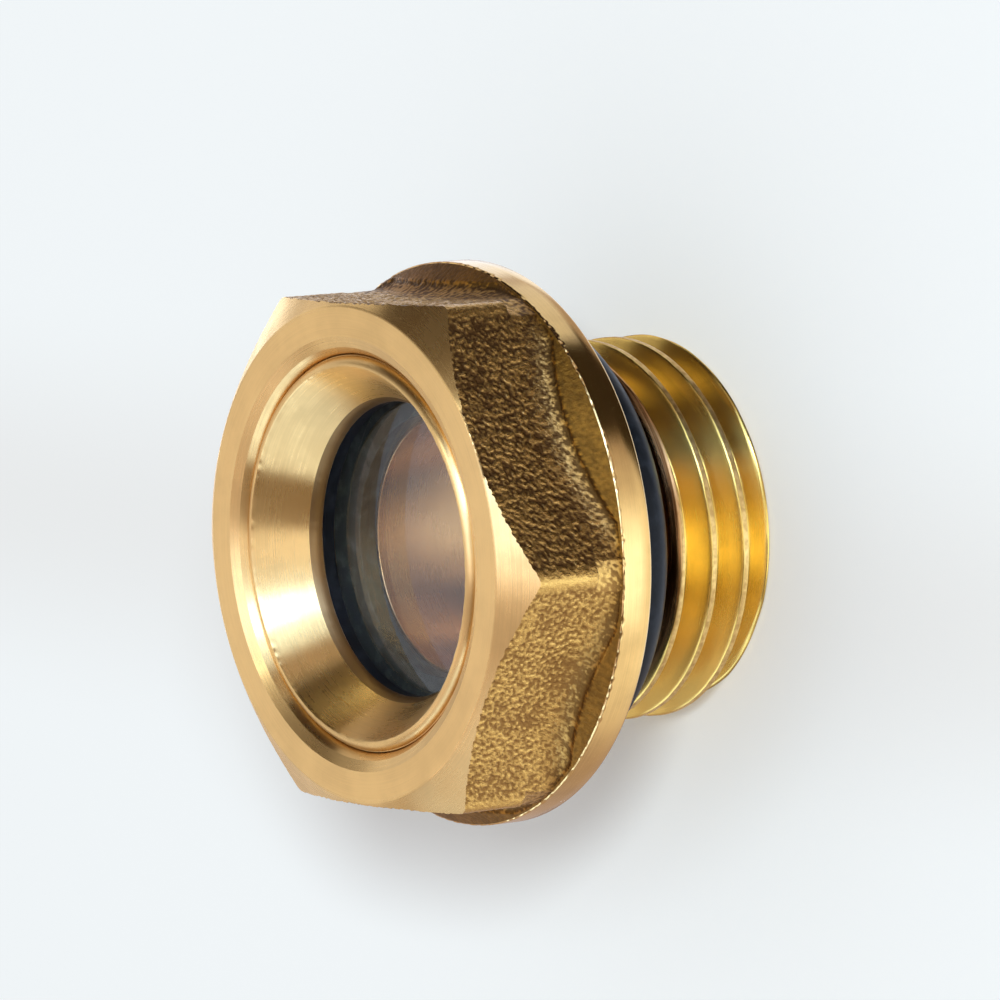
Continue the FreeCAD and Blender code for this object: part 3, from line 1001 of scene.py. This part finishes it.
# %% [markdown]
# ## The cone ring over the glass
# The ring is turned: a rounded crest, a wide cone that lets light down to the glass, and a short
# lip. It is pressed into the head, and a thin dark line shows where the two meet. A cylinder
# with a cone cut out of it would do, but an outline that goes once round the axis also gives
# the rounded crest and the curve of the lip. A very small burr on the edges keeps them from
# looking drawn with a compass.

# %% Turn the cone ring
RING_STEPS = 720
ring_outline = [(5.05, RING_SEAT), (6.73, RING_SEAT), (6.73, 4.9), (6.725, 4.97), (6.70, 5.03)]
ring_outline += arc(6.36, 4.97, 0.325, 12, 88, 10)
ring_outline += [(6.335, 5.285), (6.30, 5.245), (6.27, 5.203), (6.20, 5.10), (5.9, 4.672),
                 (5.5, 4.111), (5.21, 3.705), (5.18, 3.66), (5.15, 3.62), (5.10, 3.54),
                 (5.06, 3.46), (5.03, 3.38), (5.012, 3.30), (5.01, 3.24)]
ring_rings, ring_sharp = turned_rings(ring_outline, RING_STEPS)
print(len(ring_rings), "rings in the cone ring")

# %% Burr its edges and close it
BURR_LONG, BURR_HIGH = 0.45, 0.003
burr = waves(ring_points(6.3, 5.2, RING_STEPS), BURR_LONG, 60, 31)
burr = np.clip(burr, -1.0, 2.2)[:, None] * BURR_HIGH
for ring in ring_rings:
    r, z = math.hypot(*ring[0, :2]), ring[0, 2]
    on_cone_edge = 6.28 < r < 6.34 and 5.2 < z < 5.3
    on_lip_edge = abs(r - 5.06) < 0.06 and z < 3.6
    if on_cone_edge:
        ring[:, :2] *= 1 - burr / r
        ring[:, 2:] += 0.8 * burr
    if on_lip_edge:
        ring[:, :2] *= 1 - 0.8 * burr / r
# the lip takes the darker brass, painted shade next to the glass
LIP_R, LIP_FOOT = 5.19, 3.25
on_lip = [int(max(a[0, 0], b[0, 0]) < LIP_R and max(a[0, 2], b[0, 2]) > LIP_FOOT)
          for a, b in zip(ring_rings, ring_rings[1:] + ring_rings[:1])]
cone_ring = skin("cone_ring", ring_rings, [fine_turned, dull_shaded_lip], on_lip, ring_sharp)

# %% [markdown]
# ## Rubber and glass
# Two flat rubber rings lie between brass and glass, and a round one seals the flange. Rubber is
# nearly black, with a dull sheen; the ring behind the glass is painted lighter grey, as painted
# light.
# The disc is plain clear glass with broken edges. A flat half-clear sheet would show no depth,
# so a glass shader with the real index bends the view of the bore and mirrors the room.

# %% Rubber
def rubber(name, colour, roughness):
    """Dark rubber with faint dusty clouds and a skin of very low bumps."""
    finish, tree, shader = new_finish(name)
    place = add(tree, "ShaderNodeTexCoord").outputs["Object"]
    cloud = noise(tree, place, scale=1500.0, detail=4.0, roughness=0.6)
    dusty = tuple(c * 2.2 + 0.004 for c in colour)
    set_looks(tree, shader, Specular_IOR_Level=0.12,
              Base_Color=shade(tree, between(tree, cloud, 0.45, 0.75), colour, dusty),
              Roughness=between(tree, cloud, 0.3, 0.7, roughness - 0.06, roughness + 0.08))
    add_bumps(tree, shader, noise(tree, place, scale=6000.0, detail=2.0), 0.004)
    return finish


gasket_black = rubber("gasket rubber", (0.003, 0.004, 0.006), 0.42)
# painted light: the ring behind the glass gets little light, so its rubber is painted lighter grey
painted_light_gasket = rubber("dusty gasket rubber", (0.040, 0.044, 0.036), 0.50)
seal_black = rubber("seal rubber", (0.006, 0.008, 0.012), 0.38)
print("rubbers:", [finish.name for finish in (gasket_black, painted_light_gasket, seal_black)])

# %% Glass
def clear_glass(name):
    """Clear glass with a trace of haze."""
    finish, tree, shader = new_finish(name)
    place = add(tree, "ShaderNodeTexCoord").outputs["Object"]
    haze = noise(tree, place, scale=260.0, detail=3.0)
    set_looks(tree, shader, Transmission_Weight=1.0, IOR=1.5,
              Base_Color=shade(tree, haze, (0.90, 0.92, 0.93), (0.98, 0.98, 0.98)),
              Roughness=between(tree, haze, 0.4, 0.7, 0.0, 0.03))
    return finish


window = clear_glass("window glass")
print("glass with an index of", main_shader(window).inputs["IOR"].default_value)

# %% [markdown]
# ## The seals and the window
# The flat rings have a rectangle for a section, with barely broken edges, as if cut from sheet.
# The seal behind the flange has a round section. The window is a disc, so its outline starts and
# ends on the axis, in a pole. They could all be Blender's own cylinders and rings with a Bevel
# modifier. The outlines give each piece its exact section in as few lines.

# %% Flat rubber rings
def flat_ring(name, outer, inner, low, high, finish):
    """A ring with a rectangular section whose edges are barely broken."""
    lip = 0.03
    outline = [(inner, low + lip), (inner + lip, low), (outer - lip, low), (outer, low + lip),
               (outer, high - lip), (outer - lip, high), (inner + lip, high), (inner, high - lip)]
    rings, sharp = turned_rings(outline, 240)
    return skin(name, rings, [finish], sharp=sharp)


GLASS_R, GLASS_LOW, GLASS_HIGH = 6.0, 1.3, 2.7
rear_gasket = flat_ring("rear_gasket_ring", GLASS_R, 4.45, 0.602, 1.295, painted_light_gasket)
front_gasket = flat_ring("front_gasket_ring", GLASS_R, 5.05, 2.705, 3.198, gasket_black)

# %% The window and the seal behind the flange
BROKEN_EDGE = 0.1
disc_outline = [(0, GLASS_LOW), (3.0, GLASS_LOW), (GLASS_R - BROKEN_EDGE, GLASS_LOW),
                (GLASS_R, GLASS_LOW + BROKEN_EDGE), (GLASS_R, GLASS_HIGH - BROKEN_EDGE),
                (GLASS_R - BROKEN_EDGE, GLASS_HIGH), (3.0, GLASS_HIGH), (0, GLASS_HIGH)]
disc_rings, disc_sharp = turned_rings(disc_outline, 240)
disc = skin("window_disc", disc_rings, [window], sharp=disc_sharp, closed=False)
SEAL_MIDDLE_R, SEAL_SECTION_R = 6.8, 1.2
seal_outline = arc(SEAL_MIDDLE_R, -SEAL_SECTION_R, SEAL_SECTION_R, 0, 360, 48)[:-1]
seal = skin("flange_seal_ring", turned_rings(seal_outline, 300)[0], [seal_black])

# %% [markdown]
# ## Put the pieces on the part
# Nothing on the real part moves, so every piece rides on its only body. Plain solids could stay
# in sight under the pieces, but then two skins would show through each other. Each piece stands
# for its solid instead, and the solid is hidden. The head and the stem stand for one solid.

# %% Attach the pieces
PIECES = [
    (head, "body", "forged_brass"),
    (stem, "body", "forged_brass"),
    (cone_ring, "retaining_ring", "turned_brass"),
    (front_gasket, "front_gasket", "gasket_rubber"),
    (disc, "glass_disc", "window_glass"),
    (rear_gasket, "rear_gasket", "gasket_rubber"),
    (seal, "flange_seal", "seal_rubber"),
]
for piece, node, slot in PIECES:
    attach(piece, "root")
    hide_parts(node)
print("pieces on the part:", [piece.name for piece, node, slot in PIECES])

# %% Finish by updating the scene
bpy.context.view_layer.update()
bpy.context.view_layer.update()
